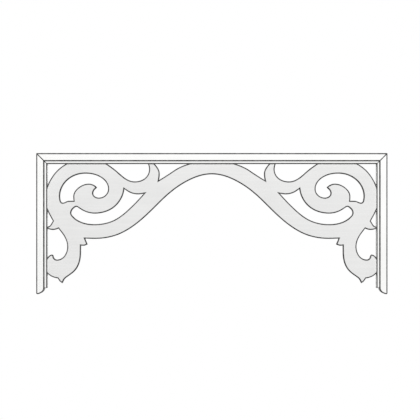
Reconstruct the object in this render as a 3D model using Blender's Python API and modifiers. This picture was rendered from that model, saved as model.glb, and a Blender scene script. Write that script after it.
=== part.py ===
"""Fretwork panel: a pierced arch board, held between beads in a three-sided mitred frame that hangs in a passage.

Metres, +Z up, front towards -Y. The origin is the middle of the head rail's top face, so everything hangs below it.
The board's outlines are laid out in millimetres from its own upper left corner, which lies hidden behind the beads:
across, down, and the heading of the edge there in degrees, 0 to the right and 90 down. A point with two headings is
a corner: the edge comes in on the first and leaves on the second.
"""
import math

import bmesh
import bpy
from mathutils import Matrix, Vector

# Driving dimensions
PANEL_WIDTH = 1.200       # over the outer sides of the two stiles
PANEL_DROP = 0.4825       # from the top of the head rail to the feet of the stiles
FRAME_FACE = 0.028        # width of rail and stiles, seen from the front
FRAME_DEPTH = 0.042
FOOT_ROUND = 0.0215       # height of the rounded foot of a stile, below the bead's end
BEAD_FACE = 0.0086        # width of a bead, seen from the front
BEAD_SETBACK = 0.002      # from the frame's face back to the bead's
BEAD_ROUND = 0.0055       # radius of the bead's rounded inner arris
BOARD_THICKNESS = 0.018
BOARD_DROP = 0.4169       # from the board's top edge to the tip of its hanging drop
FIT = 0.0003              # gap between pieces that touch
FRAME_ARRIS = 0.001       # easing of the frame's arrises
BOARD_ARRIS = 0.0008      # easing of the board's sawn edges
BEAD_ARRIS = 0.0005
CHORD_ERROR = 0.00008     # how far a straight stretch may lie from the curve that it stands for
ROUND_STEPS = 6           # straight stretches in a bead's rounded arris
FOOT_STEPS = 12           # and in the foot of a stile

MM = 0.001
BOARD_INSET = FRAME_FACE + FIT            # from the frame's outer side to the board's edge behind the beads
MIDDLE, DROP_TIP = 571.7, 416.9           # the board's half width and drop as its outlines are drawn, in millimetres
OVERRUN = 5                               # how far the half outline runs past the middle before it is mirrored
MITRE_SHIFT = FIT / math.sqrt(2)          # moves each mitred end back by half the gap
WELD = 1e-6
SHARP = math.radians(60)
FLAT = math.radians(0.01)
UPRIGHT = Matrix.Rotation(math.pi / 2, 4, "X")

# The arch: from its crown down to the corner above the spur, along the left half
ARCH = [
    (MIDDLE, 44.1, 180), (471.1, 77.4, 149), (391.7, 142.2, 135), (321.2, 208.2, 141), (261, 246.7, 155),
    (170.7, 265.1, 180),
]
# The spur under the arch's end, and the square shoulder beside it
SPUR = [(138.3, 264.1, 182, 66), (146.7, 284, 66, 158), (132.7, 288.7, 180), (123.9, 287.9, 190, 90)]
# The lower lobe, the hanging drop, and back up to the stile
LOBE = [
    (123.6, 311.7, 90), (105.4, 371.7, 129), (74.3, 397, 144), (64.7, 408.1, 112), (60.3, DROP_TIP, 115, 205),
    (51.2, 410.7, 226), (44.5, 400.5, 238, 188), (30.7, 397.5, 200), (14.7, 389, 220), (0, 370.7, 250, 270),
]
# The side opening beside the stile, with the bump at its foot and the point of the leaf over it
SIDE_OPENING = [
    (0, 340.7, 270, 316), (24.7, 318.6, 0), (30, 324.7, 85), (40.7, 335.7, 2), (67.7, 321.2, 304), (76.5, 291.7, 270),
    (61.7, 249.9, 235.3), (46.6, 229.7, 233, 153), (26.7, 234.6, 182), (0, 226.2, 210, 322),
]
# The notch over the leaf, where the lobe leaves the stile
NOTCH = [(16.9, 219.6, 316), (27.3, 204, 307, 244.5), (12.3, 175.8, 246), (0, 136.7, 270)]
# The shoulder of the board around the frame's corner
SHOULDER = [(0, 121.7, 270, 274), (30.7, 43.7, 307), (88.7, 0, 337, 0)]
# The bowl under the head rail, with the leaf tip on its far side
BOWL = [
    (200, 0, 0, 32), (250.7, 36.7, 41.8), (307.7, 68.2, 0), (341.1, 57.9, 323), (356.7, 26.7, 270),
    (349.5, 0, 248, 0),
]
# The three-cornered opening between the leaf tip and the crown
CROWN_OPENING = [
    (369.3, 0, 0, 51), (393.4, 41.7, 90), (390.7, 63.7, 104, 329), (440.9, 31.3, 325.2), (518.7, 0, 345, 0),
    (MIDDLE, 0, 0),
]
# The scroll: an opening that curls round to an eye, with a hooked tip inside
SCROLL = [
    (60.5, 141, 184), (54, 133.7, 257), (52.2, 118.7, 270), (72.1, 69.6, 312.6), (138.7, 41.7, 0), (190.7, 54.7, 31),
    (216.4, 93.7, 90), (184.7, 123.7, 180), (165.7, 108.7, 270), (174.1, 93.7, 325), (178.9, 88.7, 330, 226),
    (150.7, 75.9, 180), (111.2, 92.2, 137.4), (97.3, 119.2, 90), (98.2, 134.4, 80, 180), (80.7, 134.7, 176),
]
# The crescent under it
CRESCENT = [
    (108, 155.5, 180), (98.2, 161, 139), (90.5, 175.7, 92), (101.8, 192.9, 45), (115.1, 202.2, 29),
    (169.7, 214.6, 0), (240.7, 198.2, 332), (300.5, 150.3, 316), (338.2, 110.4, 313, 170), (319.7, 112.9, 180),
    (290.4, 106.6, 206), (272.1, 94.7, 217, 96), (252.9, 141.2, 127.2), (170.7, 178.7, 180), (130.5, 168.6, 208),
    (115.1, 158.9, 215),
]


def handle_share(leaving, arriving):
    """How long a handle is, as a share of the chord, so that the curve between two headings runs evenly."""
    sin_l, cos_l = math.sin(leaving), math.cos(leaving)
    sin_a, cos_a = math.sin(arriving), math.cos(arriving)
    skew = math.sqrt(2) * (sin_l - sin_a / 16) * (sin_a - sin_l / 16) * (cos_l - cos_a)
    fullness = 3 * (1 + (math.sqrt(5) - 1) / 2 * cos_l + (3 - math.sqrt(5)) / 2 * cos_a)
    return (2 + skew) / fullness


def turn(angle):
    """The angle brought to within half a turn of zero."""
    return (angle + math.pi) % (2 * math.pi) - math.pi


def stretch(start, end):
    """Points of the curve from one laid-out point to the next, without the last, in millimetres."""
    p0, p3 = Vector(start[:2]), Vector(end[:2])
    out_heading, in_heading = math.radians(start[-1]), math.radians(end[2])
    chord = p3 - p0
    along = math.atan2(chord.y, chord.x)
    leaving, arriving = turn(out_heading - along), turn(along - in_heading)
    bend = abs(leaving) + abs(arriving)
    steps = max(1, math.ceil(math.sqrt(chord.length * bend / 8 / (CHORD_ERROR / MM))))
    reach_out = chord.length * handle_share(leaving, arriving)
    reach_in = chord.length * handle_share(arriving, leaving)
    p1 = p0 + reach_out * Vector((math.cos(out_heading), math.sin(out_heading)))
    p2 = p3 - reach_in * Vector((math.cos(in_heading), math.sin(in_heading)))
    points = []
    for step in range(steps):
        t = step / steps
        s = 1 - t
        points.append(s**3 * p0 + 3 * s * s * t * p1 + 3 * s * t * t * p2 + t**3 * p3)
    return points


def run_of(nodes):
    """All the points along a run of laid-out points, the last one included."""
    points = []
    for start, end in zip(nodes, nodes[1:]):
        points += stretch(start, end)
    return points + [Vector(nodes[-1][:2])]


def to_front_view(points):
    """Points as drawn, to metres across from the middle and up from the head rail's top."""
    across, down = (PANEL_WIDTH / 2 - BOARD_INSET) / MIDDLE, BOARD_DROP / DROP_TIP
    return [((p[0] - MIDDLE) * across, -p[1] * down - BOARD_INSET) for p in points]


def half_board_loops():
    """The left half's outline, run a little past the middle, and the two openings in it."""
    edge = run_of(ARCH + SPUR + LOBE + SIDE_OPENING + NOTCH + SHOULDER + BOWL + CROWN_OPENING)
    past_middle = [(MIDDLE + OVERRUN, 0), (MIDDLE + OVERRUN, edge[0].y)]
    loops = [edge + past_middle] + [run_of(nodes + nodes[:1])[:-1] for nodes in (SCROLL, CRESCENT)]
    return [to_front_view(loop) for loop in loops]


def wood_paint(name, colour, roughness):
    """Painted timber."""
    material = bpy.data.materials.new(name)
    material.use_nodes = True
    shader = material.node_tree.nodes["Principled BSDF"]
    shader.inputs["Base Color"].default_value = (*colour, 1)
    shader.inputs["Roughness"].default_value = roughness
    shader.inputs["Metallic"].default_value = 0
    return material


def extruded(loops, thickness, place):
    """A bmesh of a flat outline with its openings, drawn in X and Y, thickened both ways along Z and then placed."""
    curve = bpy.data.curves.new("outline", "CURVE")
    curve.dimensions = "2D"
    curve.fill_mode = "BOTH"
    curve.extrude = thickness / 2
    for loop in loops:
        spline = curve.splines.new("POLY")
        spline.points.add(len(loop) - 1)
        for point, (x, y) in zip(spline.points, loop):
            point.co = (x, y, 0, 1)
        spline.use_cyclic_u = True
    holder = bpy.data.objects.new("outline", curve)
    mesh = bpy.data.meshes.new_from_object(holder)
    bpy.data.objects.remove(holder)
    bpy.data.curves.remove(curve)
    bm = bmesh.new()
    bm.from_mesh(mesh)
    bpy.data.meshes.remove(mesh)
    bmesh.ops.transform(bm, matrix=place, verts=bm.verts)
    bmesh.ops.remove_doubles(bm, verts=bm.verts, dist=WELD)
    return bm


def add_piece(name, bm, material, collection):
    """The finished bmesh as a named object."""
    bmesh.ops.recalc_face_normals(bm, faces=bm.faces)
    mesh = bpy.data.meshes.new(name)
    bm.to_mesh(mesh)
    bm.free()
    mesh.materials.append(material)
    piece = bpy.data.objects.new(name, mesh)
    collection.objects.link(piece)
    return piece


def mark_arrises(bm, is_arris):
    """Joins up the flat faces, then marks the sharp edges that is_arris, given an edge's two ends, picks for easing."""
    bmesh.ops.recalc_face_normals(bm, faces=bm.faces)
    flat = [edge for edge in bm.edges if edge.calc_face_angle(0) < FLAT]
    bmesh.ops.dissolve_edges(bm, edges=flat, use_verts=False, use_face_split=False)
    weight = bm.edges.layers.float.new("bevel_weight_edge")
    for edge in bm.edges:
        sharp = edge.calc_face_angle(0) > SHARP
        if sharp and is_arris(*[vert.co for vert in edge.verts]):
            edge[weight] = 1.0


def ease(piece, width):
    """Eases the arrises that were marked."""
    bevel = piece.modifiers.new("eased arrises", "BEVEL")
    bevel.width = width
    bevel.segments = 1
    bevel.limit_method = "WEIGHT"
    bevel.use_clamp_overlap = False


def make_board(material, collection):
    """The fretwork board: one half sawn out, mirrored about the middle, and eased along both faces."""
    bm = extruded(half_board_loops(), BOARD_THICKNESS, UPRIGHT)
    bmesh.ops.symmetrize(bm, input=bm.verts[:] + bm.edges[:] + bm.faces[:], direction="-X", dist=WELD)
    mark_arrises(bm, lambda a, b: abs(a.y - b.y) < BOARD_THICKNESS / 2)
    ease(add_piece("fretwork_board", bm, material, collection), BOARD_ARRIS)


def foot_of_stile():
    """The left stile's rounded foot, from the bead's end out to the stile's outer side, in the front view."""
    spring = FOOT_ROUND - PANEL_DROP
    angles = [math.pi / 2 * step / FOOT_STEPS for step in range(FOOT_STEPS + 1)]
    return [(FRAME_FACE * math.cos(a) - PANEL_WIDTH / 2, spring - FOOT_ROUND * math.sin(a)) for a in angles]


def off_the_mitres(a, b):
    """True for an edge that isn't part of a mitred end."""
    on_mitre = [abs(PANEL_WIDTH / 2 - abs(end.x) + end.z) < 2 * MITRE_SHIFT for end in (a, b)]
    return not all(on_mitre) or a.x * b.x < 0


def make_frame_member(name, outline, material, collection):
    """A rail or stile: its outline in the front view, as deep as the frame, eased but for the mitres."""
    bm = extruded([outline], FRAME_DEPTH, UPRIGHT)
    mark_arrises(bm, off_the_mitres)
    ease(add_piece(name, bm, material, collection), FRAME_ARRIS)


def make_frame(material, collection):
    """The head rail and the two stiles."""
    end, shoulder = PANEL_WIDTH / 2, PANEL_WIDTH / 2 - FRAME_FACE
    left = [(-end + MITRE_SHIFT, 0), (-shoulder + MITRE_SHIFT, -FRAME_FACE)]
    right = [(-x, z) for x, z in reversed(left)]
    make_frame_member("head_rail", left + right, material, collection)
    stile = [(-end, -MITRE_SHIFT), (-shoulder, -FRAME_FACE - MITRE_SHIFT)] + foot_of_stile()
    make_frame_member("left_stile", stile, material, collection)
    make_frame_member("right_stile", [(-x, z) for x, z in stile], material, collection)


def bead_section():
    """A bead's section: out from the frame, and forward from the middle of the board. The free arris is rounded."""
    low, high = BOARD_THICKNESS / 2 + FIT, FRAME_DEPTH / 2 - BEAD_SETBACK
    section = [(0, high - BEAD_ARRIS), (0, low), (BEAD_FACE, low)]
    for step in range(ROUND_STEPS + 1):
        angle = math.pi / 2 * step / ROUND_STEPS
        section.append((BEAD_FACE + BEAD_ROUND * (math.cos(angle) - 1), high + BEAD_ROUND * (math.sin(angle) - 1)))
    section.append((BEAD_ARRIS, high))
    return section


def make_bead(name, length, mitred_ends, facing, place, material, collection):
    """A bead along X, its free side down, facing -1 for the front. A mitred end, -1 or 1, is cut back below."""
    along_x = Matrix(((0, 0, 1, 0), (0, facing, 0, 0), (-1, 0, 0, 0), (0, 0, 0, 1)))
    bm = extruded([bead_section()], length, along_x)
    for vert in bm.verts:
        end = 1 if vert.co.x > 0 else -1
        if end in mitred_ends:
            vert.co.x -= end * (MITRE_SHIFT - vert.co.z)
    bead = add_piece(name, bm, material, collection)
    bead.matrix_world = place


def make_beads(material, collection):
    """The head bead and two stile beads on each side of the board."""
    half = PANEL_WIDTH / 2 - BOARD_INSET
    drop = PANEL_DROP - FOOT_ROUND - BOARD_INSET
    under_rail = Matrix.Translation((0, 0, -BOARD_INSET))
    for face, facing in (("front", -1), ("back", 1)):
        make_bead(face + "_head_bead", 2 * half, (-1, 1), facing, under_rail, material, collection)
        for hand, side in (("left", -1), ("right", 1)):
            middle = Matrix.Translation((side * half, 0, -BOARD_INSET - drop / 2))
            place = middle @ Matrix.Rotation(side * math.pi / 2, 4, "Y")
            make_bead(f"{face}_{hand}_bead", drop, (-side,), facing, place, material, collection)


def clear_scene():
    for obj in list(bpy.data.objects):
        bpy.data.objects.remove(obj, do_unlink=True)


def build():
    clear_scene()
    collection = bpy.data.collections.new("fretwork panel")
    bpy.context.scene.collection.children.link(collection)
    white = wood_paint("white_paint", (0.86, 0.86, 0.85), 0.42)
    grey = wood_paint("pale_grey_paint", (0.71, 0.71, 0.705), 0.48)
    make_frame(white, collection)
    make_beads(white, collection)
    make_board(grey, collection)


build()
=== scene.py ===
import math

import bmesh
import bpy
from mathutils import Matrix, Vector


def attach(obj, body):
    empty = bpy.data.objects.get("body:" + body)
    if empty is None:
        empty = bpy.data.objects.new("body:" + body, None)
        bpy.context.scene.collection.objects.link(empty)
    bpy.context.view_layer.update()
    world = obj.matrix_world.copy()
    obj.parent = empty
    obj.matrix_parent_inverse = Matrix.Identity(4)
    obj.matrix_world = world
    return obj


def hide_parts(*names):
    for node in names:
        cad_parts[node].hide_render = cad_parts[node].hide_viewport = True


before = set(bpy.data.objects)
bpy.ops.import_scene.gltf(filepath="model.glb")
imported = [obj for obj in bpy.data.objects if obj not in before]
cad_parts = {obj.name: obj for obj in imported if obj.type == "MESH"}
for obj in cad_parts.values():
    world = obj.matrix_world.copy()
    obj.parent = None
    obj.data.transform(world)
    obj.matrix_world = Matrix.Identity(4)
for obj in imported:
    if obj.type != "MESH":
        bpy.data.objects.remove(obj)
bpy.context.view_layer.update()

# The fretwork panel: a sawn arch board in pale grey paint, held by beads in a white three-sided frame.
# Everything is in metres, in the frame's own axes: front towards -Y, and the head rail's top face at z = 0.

# Sizes shared with the solids
PANEL_WIDTH = 1.200
PANEL_DROP = 0.4825
FRAME_FACE = 0.028
FRAME_DEPTH = 0.042
FOOT_ROUND = 0.0215
BEAD_FACE = 0.0086
BEAD_SETBACK = 0.002
BEAD_ROUND = 0.0055
BOARD_THICKNESS = 0.018
BOARD_DROP = 0.4169
FIT = 0.0003

# Finer sizes, which only the finished surfaces have
FRAME_ARRIS = 0.0042      # radius of the frame's eased arrises
MITRE_EASE = 0.38         # how much of that the mitres get, as a share
BOARD_ARRIS = 0.0042      # radius of the board's sanded arrises
BEAD_ARRIS = 0.0007       # radius of the beads' arrises, but for the free front one
SAWN_END_EASE = 0.0004    # how far the beads' cut ends are eased
ARRIS_STEPS = 3
ROUND_STEPS = 10
FOOT_STEPS = 8
CHORD_ERROR = 0.00003     # how far the board's outline may run beside its true curve
SHORTEST_STEP = 0.0022

MM = 0.001
QUARTER_TURN = math.pi / 2
BOARD_INSET = FRAME_FACE + FIT
HALF_BOARD = 571.7        # the board's half width and its drop in millimetres, as its outlines are laid out
DROP_TIP = 416.9
MITRE_SHIFT = FIT / math.sqrt(2)
SHARP = math.radians(60)
SHARP_CORNER = math.radians(30)
SHARP_SHADING = math.radians(35)
CLEARANCE = 1.3           # how far past a corner's mitre the points are thinned out
FLATS_LEAD = 100          # how far the broad faces rule the shading beside them, at the most
FREE_CORNER = 0           # the corner of the bead's section that is rounded most
SAWN_SLOT, ARRIS_SLOT = 1, 2    # the board's materials for its sawn edges and arrises, after its faces'

# The paints. A tone is a share of the full colour.
PAINTED = "painted_"      # before the name of the solid that a piece stands for
WHITE = (0.86, 0.86, 0.85)
PALE_GREY = (0.71, 0.71, 0.705)
PAINT_IOR = 1.48
BRUSH_RELIEF = 0.00012
BRUSHED_TONE = 0.93       # in the hollows between brush strokes
GRAIN_TONE = 0.86
GRAIN_LINES = (0.52, 0.66)       # the growth rings' noise where a line of grain starts, and where it is full
GRAIN_SHOWS = 0.3
SATIN = (0.34, 0.48)      # the least and most roughness of brushed paint
SAW_RELIEF = 0.00025
SAWN_TONES = (0.9, 0.96)
END_GRAIN = (0.45, 0.95)  # how far a sawn edge faces sideways where it turns to end grain, and where it has
END_GRAIN_TONE = 0.82
END_GRAIN_SHOWS = 0.5
SAWN_SATIN = (0.5, 0.66)

# The dark lines: painted shade along the arrises and the beads, a little less dark in patches of wear, and
# grime in the mitre joints
ARRIS_TONE = 0.96         # where a rounded arris runs out flat
DARK_LINE_TONE = 0.03        # the darkest tone, of the painted shade on arrises and beads and of the grime in the mitres
WEAR_PATCHES = (0.36, 0.62)      # the noise of the wear, from its least to its most
DARKENED_SHARE = (0.85, 1)  # how much of the arris's painted shade is laid on, from the least patches of wear to the most
ARRIS_MATT = (0.65, 0.8)
ARRIS_GLOSS = 0.12       # how much of the paint's gloss is left there
ROUND_FROM = 0.10         # facing times sideways, from which on an arris is darkened in full as painted shade
BEAD_TURN = (0.35, 0.55)  # how far a bead's round turns sideways where its line starts, and where it is full
BEAD_FLANK = (0.02, 0.2)  # how squarely it faces the front or back where that ends, and where it is full
# How far a bead is darkened by that painted shade
BEAD_SHADE = 0.95
JOINT_LINE = (0.0012, 0.0026)    # how far across from a mitre it is dark, and where that ends
JOINT_GRIME = 0.85
END_LINE = (0.0014, 0.0026)      # the same, up from a stile bead's sawn end

# The room and the view
FLOOR_LEVEL = -2.1
FLOOR_RADIUS = 9
FLOOR_FADE = 5            # how far out the floor starts to fade
FLOOR_SIDES = 96
FLOOR_COLOUR = (0.8, 0.8, 0.8, 1)
FLOOR_ROUGHNESS = 0.9
FLOOR_GLOW = 0.4
PURE_WHITE = (1, 1, 1, 1)
BACKGROUND = 1.0          # strength of the surroundings to the camera
SURROUND_LIGHT = 0.20     # and as a light
CAMERA_DISTANCE = 5.5
VIEW_WIDTH = 1.4337       # what the photograph's frame spans at the panel's front
VIEW_CENTRE = (-0.0063, -FRAME_DEPTH / 2, -0.1945)
# Each lamp's place, its size across and its power
LAMPS = {
    "key": ((-3.4, -10.0, 3.6), 3.0, 580),
    "fill": ((3.4, -10.0, 2.6), 3.0, 515),
    "low": ((0.0, -10.0, -2.4), 3.0, 195),
    "behind_left": ((-3.0, 8.0, 2.6), 2.6, 520),
    "behind_right": ((3.4, 8.0, 1.6), 2.6, 400),
}

# The board's outlines, in millimetres from its upper left corner behind the beads: across, down, and the
# heading of the edge there in degrees, 0 to the right and 90 down. A point with two headings is a corner.
# The arch: from its crown down to the corner above the spur, along the left half
ARCH = [
    (HALF_BOARD, 44.1, 180), (471.1, 77.4, 149), (391.7, 142.2, 135), (321.2, 208.2, 141), (261, 246.7, 155),
    (170.7, 265.1, 180),
]
# The spur under the arch's end, and the square shoulder beside it
SPUR = [(138.3, 264.1, 182, 66), (146.7, 284, 66, 158), (132.7, 288.7, 180), (123.9, 287.9, 190, 90)]
# The lower lobe, the hanging drop, and back up to the stile
LOBE = [
    (123.6, 311.7, 90), (105.4, 371.7, 129), (74.3, 397, 144), (64.7, 408.1, 112), (60.3, DROP_TIP, 115, 205),
    (51.2, 410.7, 226), (44.5, 400.5, 238, 188), (30.7, 397.5, 200), (14.7, 389, 220), (0, 370.7, 250, 270),
]
# The side opening beside the stile, with the bump at its foot and the point of the leaf over it
SIDE_OPENING = [
    (0, 340.7, 270, 316), (24.7, 318.6, 0), (30, 324.7, 85), (40.7, 335.7, 2), (67.7, 321.2, 304),
    (76.5, 291.7, 270), (61.7, 249.9, 235.3), (46.6, 229.7, 233, 153), (26.7, 234.6, 182),
    (0, 226.2, 210, 322),
]
# The notch over the leaf, where the lobe leaves the stile
NOTCH = [(16.9, 219.6, 316), (27.3, 204, 307, 244.5), (12.3, 175.8, 246), (0, 136.7, 270)]
# The shoulder of the board around the frame's corner
SHOULDER = [(0, 121.7, 270, 274), (30.7, 43.7, 307), (88.7, 0, 337, 0)]
# The bowl under the head rail, with the leaf tip on its far side
BOWL = [
    (200, 0, 0, 32), (250.7, 36.7, 41.8), (307.7, 68.2, 0), (341.1, 57.9, 323), (356.7, 26.7, 270),
    (349.5, 0, 248, 0),
]
# The three-cornered opening between the leaf tip and the crown
CROWN_OPENING = [
    (369.3, 0, 0, 51), (393.4, 41.7, 90), (390.7, 63.7, 104, 329), (440.9, 31.3, 325.2), (518.7, 0, 345, 0),
    (HALF_BOARD, 0, 0),
]
# The scroll: an opening that curls round to an eye, with a hooked tip inside
SCROLL = [
    (60.5, 141, 184), (54, 133.7, 257), (52.2, 118.7, 270), (72.1, 69.6, 312.6), (138.7, 41.7, 0),
    (190.7, 54.7, 31), (216.4, 93.7, 90), (184.7, 123.7, 180), (165.7, 108.7, 270), (174.1, 93.7, 325),
    (178.9, 88.7, 330, 226), (150.7, 75.9, 180), (111.2, 92.2, 137.4), (97.3, 119.2, 90),
    (98.2, 134.4, 80, 180), (80.7, 134.7, 176),
]
# The crescent under it
CRESCENT = [
    (108, 155.5, 180), (98.2, 161, 139), (90.5, 175.7, 92), (101.8, 192.9, 45), (115.1, 202.2, 29),
    (169.7, 214.6, 0), (240.7, 198.2, 332), (300.5, 150.3, 316), (338.2, 110.4, 313, 170),
    (319.7, 112.9, 180), (290.4, 106.6, 206), (272.1, 94.7, 217, 96), (252.9, 141.2, 127.2),
    (170.7, 178.7, 180), (130.5, 168.6, 208), (115.1, 158.9, 215),
]


def handle_share(leaving, arriving):
    """How long a handle is, as a share of the chord, so that the curve between two headings runs evenly."""
    sin_l, cos_l = math.sin(leaving), math.cos(leaving)
    sin_a, cos_a = math.sin(arriving), math.cos(arriving)
    skew = math.sqrt(2) * (sin_l - sin_a / 16) * (sin_a - sin_l / 16) * (cos_l - cos_a)
    fullness = 3 * (1 + (math.sqrt(5) - 1) / 2 * cos_l + (3 - math.sqrt(5)) / 2 * cos_a)
    return (2 + skew) / fullness


def turn(angle):
    """The angle, brought to within half a turn either way."""
    return (angle + math.pi) % (2 * math.pi) - math.pi


def stretch(start, end):
    """Points of the curve from one laid-out point to the next, without the last, in millimetres."""
    p0, p3 = Vector(start[:2]), Vector(end[:2])
    out_heading, in_heading = math.radians(start[-1]), math.radians(end[2])
    chord = p3 - p0
    along = math.atan2(chord.y, chord.x)
    leaving, arriving = turn(out_heading - along), turn(along - in_heading)
    # An arc stands off its chord by an eighth of the chord times the bend
    bend = abs(leaving) + abs(arriving)
    for_the_bend = math.ceil(math.sqrt(chord.length * bend / 8 / (CHORD_ERROR / MM)))
    steps = max(1, min(for_the_bend, math.floor(chord.length / (SHORTEST_STEP / MM))))
    reach_out = chord.length * handle_share(leaving, arriving)
    reach_in = chord.length * handle_share(arriving, leaving)
    p1 = p0 + reach_out * Vector((math.cos(out_heading), math.sin(out_heading)))
    p2 = p3 - reach_in * Vector((math.cos(in_heading), math.sin(in_heading)))
    points = []
    for step in range(steps):
        t = step / steps
        s = 1 - t
        points.append(s**3 * p0 + 3 * s * s * t * p1 + 3 * s * t * t * p2 + t**3 * p3)
    return points


def run_of(nodes):
    """All the points along a run of laid-out points, the last one included."""
    points = []
    for start, end in zip(nodes, nodes[1:]):
        points += stretch(start, end)
    return points + [Vector(nodes[-1][:2])]


def to_front_view(points):
    """Points as drawn, to metres across from the middle and up from the head rail's top."""
    across, down = (PANEL_WIDTH / 2 - BOARD_INSET) / HALF_BOARD, BOARD_DROP / DROP_TIP
    return [((p[0] - HALF_BOARD) * across, -p[1] * down - BOARD_INSET) for p in points]


def facing_wood(loop, is_opening=False):
    """The loop as vectors, turned so that the wood is on its left."""
    points = [Vector(point) for point in loop]
    area = sum(a.cross(b) for a, b in zip(points, points[1:] + points[:1]))
    return points if (area > 0) != is_opening else points[::-1]


def board_loops():
    """The board's outline and its four openings: the left half as laid out, and the same mirrored."""
    half = to_front_view(run_of(ARCH + SPUR + LOBE + SIDE_OPENING + NOTCH + SHOULDER + BOWL + CROWN_OPENING))
    edge = half + [(-x, z) for x, z in half[-2:0:-1]]
    loops = [facing_wood(edge)]
    for nodes in (SCROLL, CRESCENT):
        opening = to_front_view(run_of(nodes + nodes[:1])[:-1])
        loops += [facing_wood(opening, True), facing_wood([(-x, z) for x, z in opening], True)]
    return loops


def inset(loop, distance):
    """The loop moved to its left, into the wood, with its corners kept sharp."""
    moved = []
    for before, here, after in zip(loop[-1:] + loop[:-1], loop, loop[1:] + loop[:1]):
        left_in = (here - before).orthogonal().normalized()
        left_out = (after - here).orthogonal().normalized()
        moved.append(here + (left_in + left_out) * distance / (1 + left_in.dot(left_out)))
    return moved


def cleared(loop, distance):
    """The loop without the points by a sharp corner that would fold over when it is moved by the distance."""
    corners = []
    for before, here, after in zip(loop[-1:] + loop[:-1], loop, loop[1:] + loop[:1]):
        into, out = here - before, after - here
        turned = math.atan2(into.cross(out), into.dot(out))
        if turned > SHARP_CORNER:
            corners.append((here, CLEARANCE * distance * math.tan(turned / 2)))
    return [p for p in loop if all(p is corner or (p - corner).length > reach for corner, reach in corners)]


def rounded_edge(thickness, radius):
    """A board's edge with both arrises rounded, as pairs of an inset and a Y, from the back to the front."""
    front = []
    for step in range(ARRIS_STEPS + 1):
        angle = QUARTER_TURN * step / ARRIS_STEPS
        front.append((radius * (1 - math.cos(angle)), radius * (1 - math.sin(angle)) - thickness / 2))
    return [(back_in, -y) for back_in, y in front[::-1]] + front


def sawn_board(loops, thickness, radius):
    """A bmesh of the board, with the materials set on its faces, its sawn edges and its rounded arrises."""
    bm = bmesh.new()
    rims = []
    for loop in [cleared(loop, radius) for loop in loops]:
        rings = []
        for inward, y in rounded_edge(thickness, radius):
            rings.append([bm.verts.new((x, y, z)) for x, z in inset(loop, inward)])
        for count, (ring, following) in enumerate(zip(rings, rings[1:])):
            for k in range(len(ring)):
                strip = bm.faces.new((ring[k - 1], ring[k], following[k], following[k - 1]))
                strip.material_index = SAWN_SLOT if count == ARRIS_STEPS else ARRIS_SLOT
        rims.append((rings[0], rings[-1]))
    for side, normal in ((0, (0, 1, 0)), (1, (0, -1, 0))):
        edges = []
        for ring in [rim[side] for rim in rims]:
            edges += [bm.edges.get((ring[k - 1], ring[k])) for k in range(len(ring))]
        bmesh.ops.triangle_fill(bm, use_beauty=True, edges=edges, normal=normal)
    bmesh.ops.recalc_face_normals(bm, faces=bm.faces)
    return bm


def prism(outline, depth):
    """A bmesh of an outline in the front view, thickened to both sides."""
    bm = bmesh.new()
    face = bm.faces.new([bm.verts.new((x, -depth / 2, z)) for x, z in outline])
    back = bmesh.ops.extrude_face_region(bm, geom=[face])["geom"]
    bmesh.ops.translate(bm, verts=[v for v in back if isinstance(v, bmesh.types.BMVert)], vec=(0, depth, 0))
    bmesh.ops.recalc_face_normals(bm, faces=bm.faces)
    return bm


def baked(obj):
    """The object's mesh as its modifiers leave it, with the modifiers gone."""
    depsgraph = bpy.context.evaluated_depsgraph_get()
    mesh = bpy.data.meshes.new_from_object(obj.evaluated_get(depsgraph))
    obj.modifiers.clear()
    old = obj.data
    obj.data = mesh
    bpy.data.meshes.remove(old)
    mesh.name = obj.name


def shade_smooth(mesh):
    mesh.polygons.foreach_set("use_smooth", [True] * len(mesh.polygons))
    mesh.set_sharp_from_angle(angle=SHARP_SHADING)


def as_piece(name, bm, materials):
    """An object from a bmesh, which is used up."""
    mesh = bpy.data.meshes.new(name)
    bm.to_mesh(mesh)
    bm.free()
    for material in materials:
        mesh.materials.append(material)
    shade_smooth(mesh)
    piece = bpy.data.objects.new(name, mesh)
    bpy.context.scene.collection.objects.link(piece)
    return piece


def round_marked(piece, radius, material):
    """Rounds the edges that carry a bevel weight."""
    bevel = piece.modifiers.new("rounded", "BEVEL")
    bevel.width = radius
    bevel.segments = ARRIS_STEPS
    bevel.limit_method = "WEIGHT"
    bevel.use_clamp_overlap = False
    bevel.material = material


def keep_flats_flat(piece):
    """Lets the broad flat faces rule the shading where they run into a rounded arris."""
    weighted = piece.modifiers.new("flats", "WEIGHTED_NORMAL")
    weighted.weight = FLATS_LEAD
    weighted.keep_sharp = True


class Graph:
    """A node tree under construction. Numbers and sockets are handed to inputs in the same way."""

    def __init__(self, tree, prefix):
        self.tree = tree
        self.prefix = prefix

    def add(self, kind, inputs=(), **settings):
        """A node of a kind, with settings, and with inputs given as (name or number, value or socket)."""
        kind = kind if kind.startswith(("Shader", "Function", "Node")) else self.prefix + kind
        node = self.tree.nodes.new(kind)
        for key, value in settings.items():
            setattr(node, key, value)
        for key, value in inputs:
            self.hand(value, node.inputs[key])
        return node

    def hand(self, value, socket):
        """Links a socket to an input, or sets the input to a plain value."""
        if isinstance(value, bpy.types.NodeSocket):
            self.tree.links.new(value, socket)
        else:
            socket.default_value = value

    def math(self, operation, first, second=0.0):
        return self.add("ShaderNodeMath", [(0, first), (1, second)], operation=operation).outputs[0]


# Finishes

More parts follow.
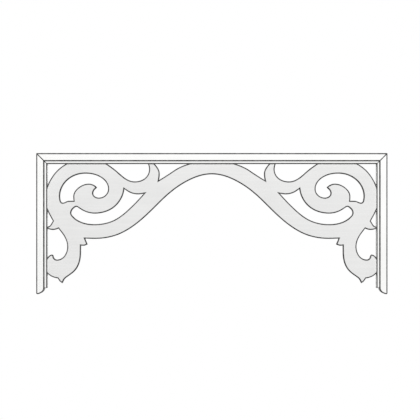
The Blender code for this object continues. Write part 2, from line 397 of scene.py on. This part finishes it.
class Finish(Graph):
    """A painted finish under construction, on a material of its own."""

    def __init__(self, name):
        self.material = bpy.data.materials.new(name)
        self.material.use_nodes = True
        super().__init__(self.material.node_tree, "ShaderNode")
        self.shader = self.tree.nodes["Principled BSDF"]
        self.place = self.add("TexCoord").outputs["Object"]
        self.grain_place = self.place

    def run_upright(self):
        """Turns the brush marks and the grain from along X to along Z."""
        turned = self.add("Mapping", [(0, self.place), ("Rotation", (0, QUARTER_TURN, 0))])
        self.grain_place = turned.outputs[0]

    def noise(self, scale=1.0, detail=3.0, roughness=0.5, stretched=(1, 1, 1)):
        """Noise with so many patches a metre, times what stretched gives for each axis."""
        drawn = self.add("Mapping", [(0, self.grain_place), ("Scale", stretched)]).outputs[0]
        inputs = [(0, drawn), ("Scale", scale), ("Detail", detail), ("Roughness", roughness)]
        return self.add("TexNoise", inputs).outputs[0]

    def between(self, value, low, high, to_low=0.0, to_high=1.0):
        """The value from low to high, spread over to_low to to_high and held there."""
        return self.add("MapRange", [(0, value), (1, low), (2, high), (3, to_low), (4, to_high)]).outputs[0]

    def blend(self, share, first, second):
        """The first colour, going over to the second where the share is 1."""
        return self.add("Mix", [(0, share), (6, first), (7, second)], data_type="RGBA").outputs[2]

    def turned_away(self):
        """How squarely the surface faces the front or back, and how far it turns aside, each up to 1."""
        normal = self.add("NewGeometry").outputs["Normal"]
        facing = self.math("ABSOLUTE", self.add("SeparateXYZ", [(0, normal)]).outputs[1])
        return facing, self.math("SQRT", self.math("SUBTRACT", 1.0, self.math("MULTIPLY", facing, facing)))

    def beside_a_mitre(self):
        """1 along the lines where the rail meets the stiles, and 0 away from them."""
        place = self.add("SeparateXYZ", [(0, self.place)]).outputs
        below = self.math("SUBTRACT", PANEL_WIDTH / 2, self.math("ABSOLUTE", place[0]))
        across = self.math("ABSOLUTE", self.math("ADD", below, place[2]))
        return self.between(across, *JOINT_LINE, 1.0, 0.0)

    def beside_a_bead_end(self):
        """1 along the stile beads' sawn ends at the foot, and 0 above them."""
        up = self.add("SeparateXYZ", [(0, self.place)]).outputs[2]
        return self.between(self.math("ADD", up, PANEL_DROP - FOOT_ROUND), *END_LINE, 1.0, 0.0)

    def sum(self, *parts):
        """Adds up pairs of a value and its weight."""
        total = 0.0
        for value, weight in parts:
            total = self.math("ADD", total, self.math("MULTIPLY", value, weight))
        return total

    def complete(self, colour, roughness, height, relief):
        """Joins the colour, the roughness and a relief that is so many metres high to the shader."""
        bump = self.add("Bump", [("Height", height), ("Distance", relief)]).outputs[0]
        for name, value in (("Base Color", colour), ("Roughness", roughness), ("Normal", bump)):
            self.hand(value, self.shader.inputs[name])
        self.shader.inputs["IOR"].default_value = PAINT_IOR
        return self.material


def toned(colour, tone):
    """The colour at a share of its brightness, with an alpha of 1."""
    return (*[tone * c for c in colour], 1)


def brushed_paint(name, colour, upright=False, mitred=False, on_bead=False):
    """Satin paint brushed along a planed member, with the grain just showing through.

    A mitred member is grimed dark along its mitres, and a bead is darkened along its round and its sawn end
    as painted shade.
    """
    finish = Finish(name)
    if upright:
        finish.run_upright()
    bristles = finish.noise(detail=5, roughness=0.6, stretched=(9, 900, 900))
    strokes = finish.noise(roughness=0.6, stretched=(2.2, 130, 130))
    growth_rings = finish.noise(detail=6, roughness=0.7, stretched=(3.5, 260, 260))
    patches = finish.noise(scale=7)
    pores = finish.noise(scale=1500, detail=2)
    grain = finish.between(growth_rings, *GRAIN_LINES)
    tone = finish.between(finish.sum((strokes, 0.5), (patches, 0.5)), 0.36, 0.64)
    base = finish.blend(tone, toned(colour, BRUSHED_TONE), toned(colour, 1))
    base = finish.blend(finish.math("MULTIPLY", grain, GRAIN_SHOWS), base, toned(colour, GRAIN_TONE))
    # Painted shade: a bead darkens where its round turns towards the board, and along its sawn end at the
    # foot
    if on_bead:
        facing, sideways = finish.turned_away()
        turns, faces = finish.between(sideways, *BEAD_TURN), finish.between(facing, *BEAD_FLANK)
        bead_shade = finish.math("MAXIMUM", finish.math("MULTIPLY", turns, faces), finish.beside_a_bead_end())
        base = finish.blend(finish.math("MULTIPLY", bead_shade, BEAD_SHADE), base, toned(colour, DARK_LINE_TONE))
    if mitred:
        grime = finish.math("MULTIPLY", finish.beside_a_mitre(), JOINT_GRIME)
        base = finish.blend(grime, base, toned(colour, DARK_LINE_TONE))
    height = finish.sum((bristles, 0.55), (strokes, 0.9), (grain, -0.35), (pores, 0.12))
    return finish.complete(base, finish.between(patches, 0.3, 0.7, *SATIN), height, BRUSH_RELIEF)


def sawn_paint(name, colour):
    """Paint on a fret-sawn edge: saw lines through the thickness, and duller where end grain soaked it up."""
    finish = Finish(name)
    saw_lines = finish.noise(roughness=0.6, stretched=(900, 35, 900))
    waves = finish.noise(scale=60, detail=2)
    normal = finish.add("NewGeometry").outputs["Normal"]
    sideways = finish.math("ABSOLUTE", finish.add("SeparateXYZ", [(0, normal)]).outputs[0])
    end_grain = finish.between(sideways, *END_GRAIN)
    base = finish.blend(finish.between(waves, 0.35, 0.65), *[toned(colour, tone) for tone in SAWN_TONES])
    soaked = finish.math("MULTIPLY", end_grain, END_GRAIN_SHOWS)
    base = finish.blend(soaked, base, toned(colour, END_GRAIN_TONE))
    height = finish.sum((saw_lines, 0.8), (waves, 0.4))
    return finish.complete(base, finish.between(end_grain, 0, 1, *SAWN_SATIN), height, SAW_RELIEF)


def arris_shade_paint(name, colour):
    """Paint on a rounded arris, darkened to a near-black line of painted shade, a little less dark in patches
    of wear.
    """
    finish = Finish(name)
    wear = finish.noise(scale=90, detail=4, roughness=0.65)
    flow = finish.noise(scale=400, detail=2)
    dark_share = finish.between(wear, *WEAR_PATCHES, *DARKENED_SHARE)
    # Painted shade: the arris darkens wherever it turns from the front to the side
    facing, sideways = finish.turned_away()
    on_the_round = finish.between(finish.math("MULTIPLY", facing, sideways), 0, ROUND_FROM)
    share = finish.math("MULTIPLY", on_the_round, dark_share)
    base = finish.blend(share, toned(colour, ARRIS_TONE), toned(colour, DARK_LINE_TONE))
    height = finish.sum((dark_share, -0.4), (flow, 0.5))
    finish.shader.inputs["Specular IOR Level"].default_value = ARRIS_GLOSS
    return finish.complete(base, finish.between(dark_share, *DARKENED_SHARE, *ARRIS_MATT), height, BRUSH_RELIEF)


# The board

def saw_the_board(name, materials):
    """The fretwork board, with its arrises sanded round."""
    board = as_piece(name, sawn_board(board_loops(), BOARD_THICKNESS, BOARD_ARRIS), materials)
    keep_flats_flat(board)
    baked(board)
    return board


# The frame

def foot_of_stile():
    """The left stile's rounded foot, from the bead's end out to the stile's outer side, in the front view."""
    spring = FOOT_ROUND - PANEL_DROP
    angles = [QUARTER_TURN * step / FOOT_STEPS for step in range(FOOT_STEPS + 1)]
    return [(FRAME_FACE * math.cos(a) - PANEL_WIDTH / 2, spring - FOOT_ROUND * math.sin(a)) for a in angles]


def frame_easing(a, b):
    """Full easing along a member, and less round the ends that meet in a mitre."""
    on_mitre = [abs(PANEL_WIDTH / 2 - abs(end.x) + end.z) < 2 * MITRE_SHIFT for end in (a, b)]
    return MITRE_EASE if all(on_mitre) and a.x * b.x > 0 else 1.0


def plane_a_member(name, outline, materials):
    """A rail or stile from its outline in the front view, with its arrises eased."""
    bm = prism(outline, FRAME_DEPTH)
    weight = bm.edges.layers.float.new("bevel_weight_edge")
    for edge in bm.edges:
        if edge.calc_face_angle(0) > SHARP:
            edge[weight] = frame_easing(*[vert.co for vert in edge.verts])
    member = as_piece(name, bm, materials)
    round_marked(member, FRAME_ARRIS, len(materials) - 1)
    keep_flats_flat(member)
    baked(member)
    return member


def member_outlines():
    """The outlines of the head rail and the two stiles in the front view, by the names of their solids."""
    end, shoulder = PANEL_WIDTH / 2, PANEL_WIDTH / 2 - FRAME_FACE
    left = [(-end + MITRE_SHIFT, 0), (-shoulder + MITRE_SHIFT, -FRAME_FACE)]
    right = [(-x, z) for x, z in reversed(left)]
    stile = [(-end, -MITRE_SHIFT), (-shoulder, -FRAME_FACE - MITRE_SHIFT)] + foot_of_stile()
    return {"head_rail": left + right, "left_stile": stile, "right_stile": [(-x, z) for x, z in stile]}


# The beads

class BeadRun(Graph):
    """The tree that runs a bead along X, its free side at -Z and its front at -Y, and cuts its mitres."""

    SIZES = ("length", "face", "depth", "round", "arris", "mitre gap", "low end mitred", "high end mitred")

    def __init__(self):
        super().__init__(bpy.data.node_groups.new("bead run", "GeometryNodeTree"), "GeometryNode")
        self.named_input("mesh", "NodeSocketGeometry")
        self.keys = {label: self.named_input(label, "NodeSocketFloat") for label in self.SIZES}
        self.keys["paint"] = self.named_input("paint", "NodeSocketMaterial")
        self.tree.interface.new_socket("mesh", in_out="OUTPUT", socket_type="NodeSocketGeometry")
        self.given = self.add("NodeGroupInput").outputs
        self.build()

    def named_input(self, label, kind):
        """Adds an input, and gives the identifier by which a modifier sets it."""
        return self.tree.interface.new_socket(label, in_out="INPUT", socket_type=kind).identifier

    def vector(self, x, y, z):
        return self.add("ShaderNodeCombineXYZ", [(0, x), (1, y), (2, z)]).outputs[0]

    def either(self, test, if_true, if_false, kind):
        """The first value where the test holds, and the second elsewhere."""
        return self.add("Switch", [(0, test), (1, if_false), (2, if_true)], input_type=kind).outputs[0]

    def build(self):
        given = self.given
        half = self.math("MULTIPLY", given["length"], 0.5)
        low_end = self.vector(self.math("MULTIPLY", half, -1.0), 0.0, 0.0)
        high_end = self.vector(half, 0.0, 0.0)
        line = self.add("CurvePrimitiveLine", [("Start", low_end), ("End", high_end)]).outputs[0]
        swept = self.add("CurveToMesh", [(0, line), (1, self.section()), ("Fill Caps", True)]).outputs[0]
        cut = self.with_mitres(self.with_sharp_edges_weighed(swept))
        realized = self.add("RealizeInstances", [(0, cut)]).outputs[0]
        painted = self.add("SetMaterial", [(0, realized), ("Material", given["paint"])]).outputs[0]
        self.add("NodeGroupOutput", [(0, painted)])

    def section(self):
        """A rectangle with its corners rounded, the free front one most."""
        given = self.given
        box = self.add("CurvePrimitiveQuadrilateral", [(0, given["depth"]), (1, given["face"])]).outputs[0]
        compared = [(2, self.add("InputIndex").outputs[0]), (3, FREE_CORNER)]
        is_free = self.add("FunctionNodeCompare", compared, data_type="INT", operation="EQUAL").outputs[0]
        radius = self.either(is_free, given["round"], given["arris"], "FLOAT")
        steps = self.either(is_free, ROUND_STEPS, ARRIS_STEPS, "INT")
        inputs = [("Curve", box), ("Count", steps), ("Radius", radius)]
        return self.add("FilletCurve", inputs, mode="POLY").outputs[0]

    def with_sharp_edges_weighed(self, mesh):
        """Gives the edges of the cut ends a bevel weight of 1."""
        angle = self.add("InputMeshEdgeAngle").outputs[0]
        weight = self.math("GREATER_THAN", angle, SHARP)
        inputs = [(0, mesh), ("Name", "bevel_weight_edge"), ("Value", weight)]
        return self.add("StoreNamedAttribute", inputs, data_type="FLOAT", domain="EDGE").outputs[0]

    def with_mitres(self, mesh):
        """Slants the ends that are mitred, the free side the shorter one, and leaves the mitre gap."""
        given = self.given
        place = self.add("ShaderNodeSeparateXYZ", [(0, self.add("InputPosition").outputs[0])]).outputs
        rise = self.math("SUBTRACT", self.math("MULTIPLY", given["face"], 0.5), place[2])
        cut = self.math("ADD", rise, given["mitre gap"])
        high = self.math("GREATER_THAN", place[0], 0.0)
        low = self.math("SUBTRACT", 1.0, high)
        cut_low = self.math("MULTIPLY", self.math("MULTIPLY", cut, given["low end mitred"]), low)
        cut_high = self.math("MULTIPLY", self.math("MULTIPLY", cut, given["high end mitred"]), high)
        offset = self.vector(self.math("SUBTRACT", cut_low, cut_high), 0.0, 0.0)
        return self.add("SetPosition", [(0, mesh), ("Offset", offset)]).outputs[0]


def run_bead(name, tree, length, mitred_ends, place, paint):
    """A bead, run along X and then put in its place. A mitred end is -1, the low one, or 1, the high one."""
    depth = FRAME_DEPTH / 2 - BEAD_SETBACK - BOARD_THICKNESS / 2 - FIT
    sizes = {
        "length": length, "face": BEAD_FACE, "depth": depth, "round": BEAD_ROUND, "arris": BEAD_ARRIS,
        "mitre gap": MITRE_SHIFT, "low end mitred": float(-1 in mitred_ends),
        "high end mitred": float(1 in mitred_ends), "paint": paint,
    }
    bead = bpy.data.objects.new(name, bpy.data.meshes.new(name))
    bpy.context.scene.collection.objects.link(bead)
    run = bead.modifiers.new("run", "NODES")
    run.node_group = tree.tree
    for label, value in sizes.items():
        run[tree.keys[label]] = value
    round_marked(bead, SAWN_END_EASE, 0)
    baked(bead)
    middle = Matrix.Translation((0, -(FRAME_DEPTH / 2 - BEAD_SETBACK - depth / 2), -BEAD_FACE / 2))
    bead.data.transform(place @ middle)
    shade_smooth(bead.data)
    keep_flats_flat(bead)
    baked(bead)
    return bead


def make_beads(along_paint, upright_paint):
    """The head bead and two stile beads on each side of the board, by the names of their solids."""
    tree = BeadRun()
    half = PANEL_WIDTH / 2 - BOARD_INSET
    drop = PANEL_DROP - FOOT_ROUND - BOARD_INSET
    beads = {}
    for face, facing in (("front", 1), ("back", -1)):
        about = Matrix.Identity(4) if facing == 1 else Matrix.Rotation(math.pi, 4, "Z")
        under_rail = Matrix.Translation((0, 0, -BOARD_INSET)) @ about
        node = face + "_head_bead"
        beads[node] = run_bead(PAINTED + node, tree, 2 * half, (-1, 1), under_rail, along_paint)
        for hand, side in (("left", -1), ("right", 1)):
            middle = Matrix.Translation((side * half, 0, -BOARD_INSET - drop / 2))
            place = middle @ Matrix.Rotation(side * QUARTER_TURN, 4, "Y") @ about
            node = f"{face}_{hand}_bead"
            beads[node] = run_bead(PAINTED + node, tree, drop, (-side * facing,), place, upright_paint)
    return beads


# Putting the pieces on the frame

def dress(piece, node):
    """The piece goes with the frame, in place of its plain solid."""
    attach(piece, "root")
    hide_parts(node)


def make_the_panel():
    along = brushed_paint("white_paint_along", WHITE, mitred=True)
    upright = brushed_paint("white_paint_upright", WHITE, upright=True, mitred=True)
    bead_along = brushed_paint("white_paint_bead_along", WHITE, mitred=True, on_bead=True)
    bead_upright = brushed_paint("white_paint_bead_upright", WHITE, upright=True, mitred=True, on_bead=True)
    # The frame's arrises are darkened to a line of painted shade
    arris_shade_white = arris_shade_paint("white_paint_rubbed", WHITE)
    for node, outline in member_outlines().items():
        face_paint = along if node == "head_rail" else upright
        dress(plane_a_member(PAINTED + node, outline, [face_paint, arris_shade_white]), node)
    for node, bead in make_beads(bead_along, bead_upright).items():
        dress(bead, node)
    # The board's arrises, in the last of these, are darkened to a line of painted shade
    greys = [
        brushed_paint("grey_paint_face", PALE_GREY),
        sawn_paint("grey_paint_sawn", PALE_GREY),
        arris_shade_paint("grey_paint_rubbed", PALE_GREY),
    ]
    dress(saw_the_board(PAINTED + "fretwork_board", greys), "fretwork_board")


# The room

def plain_floor():
    """A round pale floor, as far down as under a doorway's head, which fades out at its rim."""
    bm = bmesh.new()
    bmesh.ops.create_circle(bm, cap_ends=True, segments=FLOOR_SIDES, radius=FLOOR_RADIUS)
    bmesh.ops.translate(bm, verts=bm.verts, vec=(0, 0, FLOOR_LEVEL))
    mesh = bpy.data.meshes.new("floor")
    bm.to_mesh(mesh)
    bm.free()
    floor = bpy.data.objects.new("floor", mesh)
    bpy.context.scene.collection.objects.link(floor)
    mesh.materials.append(fading_floor_paint())
    floor.visible_diffuse = False
    floor.visible_glossy = False


def fading_floor_paint():
    """Pale and faintly glowing, and clear towards the floor's rim."""
    finish = Finish("floor_paint")
    flat = finish.add("VectorMath", [(0, finish.place), (1, (1, 1, 0))], operation="MULTIPLY").outputs[0]
    reach = finish.add("VectorMath", [(0, flat)], operation="LENGTH").outputs["Value"]
    finish.shader.inputs["Base Color"].default_value = FLOOR_COLOUR
    finish.shader.inputs["Roughness"].default_value = FLOOR_ROUGHNESS
    finish.shader.inputs["Emission Color"].default_value = PURE_WHITE
    finish.shader.inputs["Emission Strength"].default_value = FLOOR_GLOW
    clear = finish.add("BsdfTransparent").outputs[0]
    share = finish.between(reach, FLOOR_FADE, FLOOR_RADIUS)
    mixed = finish.add("MixShader", [(0, share), (1, finish.shader.outputs[0]), (2, clear)]).outputs[0]
    finish.hand(mixed, finish.tree.nodes["Material Output"].inputs["Surface"])
    return finish.material


def aim(obj, target):
    obj.rotation_euler = (Vector(target) - obj.location).to_track_quat("-Z", "Y").to_euler()


def soft_light(name, place, size, power):
    light = bpy.data.lights.new(name, "AREA")
    light.size = size
    light.energy = power
    lamp = bpy.data.objects.new(name, light)
    lamp.location = place
    aim(lamp, VIEW_CENTRE)
    lamp.visible_camera = False
    bpy.context.scene.collection.objects.link(lamp)


def pale_surroundings():
    """Near white behind the panel, and dimmer as a light, so that the lamps model its edges."""
    world = bpy.data.worlds.new("surroundings")
    world.use_nodes = True
    bpy.context.scene.world = world
    graph = Graph(world.node_tree, "ShaderNode")
    seen = graph.add("LightPath").outputs["Is Camera Ray"]
    strength = graph.add("MapRange", [(0, seen), (3, SURROUND_LIGHT), (4, BACKGROUND)]).outputs[0]
    graph.hand(strength, graph.tree.nodes["Background"].inputs["Strength"])
    graph.hand(PURE_WHITE, graph.tree.nodes["Background"].inputs["Color"])


def camera_in_front():
    """Square on to the panel, far back, so that the view is close to a plain elevation."""
    data = bpy.data.cameras.new("camera")
    data.lens = data.sensor_width * CAMERA_DISTANCE / VIEW_WIDTH
    camera = bpy.data.objects.new("camera", data)
    camera.location = (VIEW_CENTRE[0], VIEW_CENTRE[1] - CAMERA_DISTANCE, VIEW_CENTRE[2])
    camera.rotation_euler = (QUARTER_TURN, 0, 0)
    bpy.context.scene.collection.objects.link(camera)
    bpy.context.scene.camera = camera


make_the_panel()
plain_floor()
for name, (place, size, power) in LAMPS.items():
    soft_light(name, place, size, power)
pale_surroundings()
camera_in_front()
bpy.context.scene.view_settings.view_transform = "Standard"
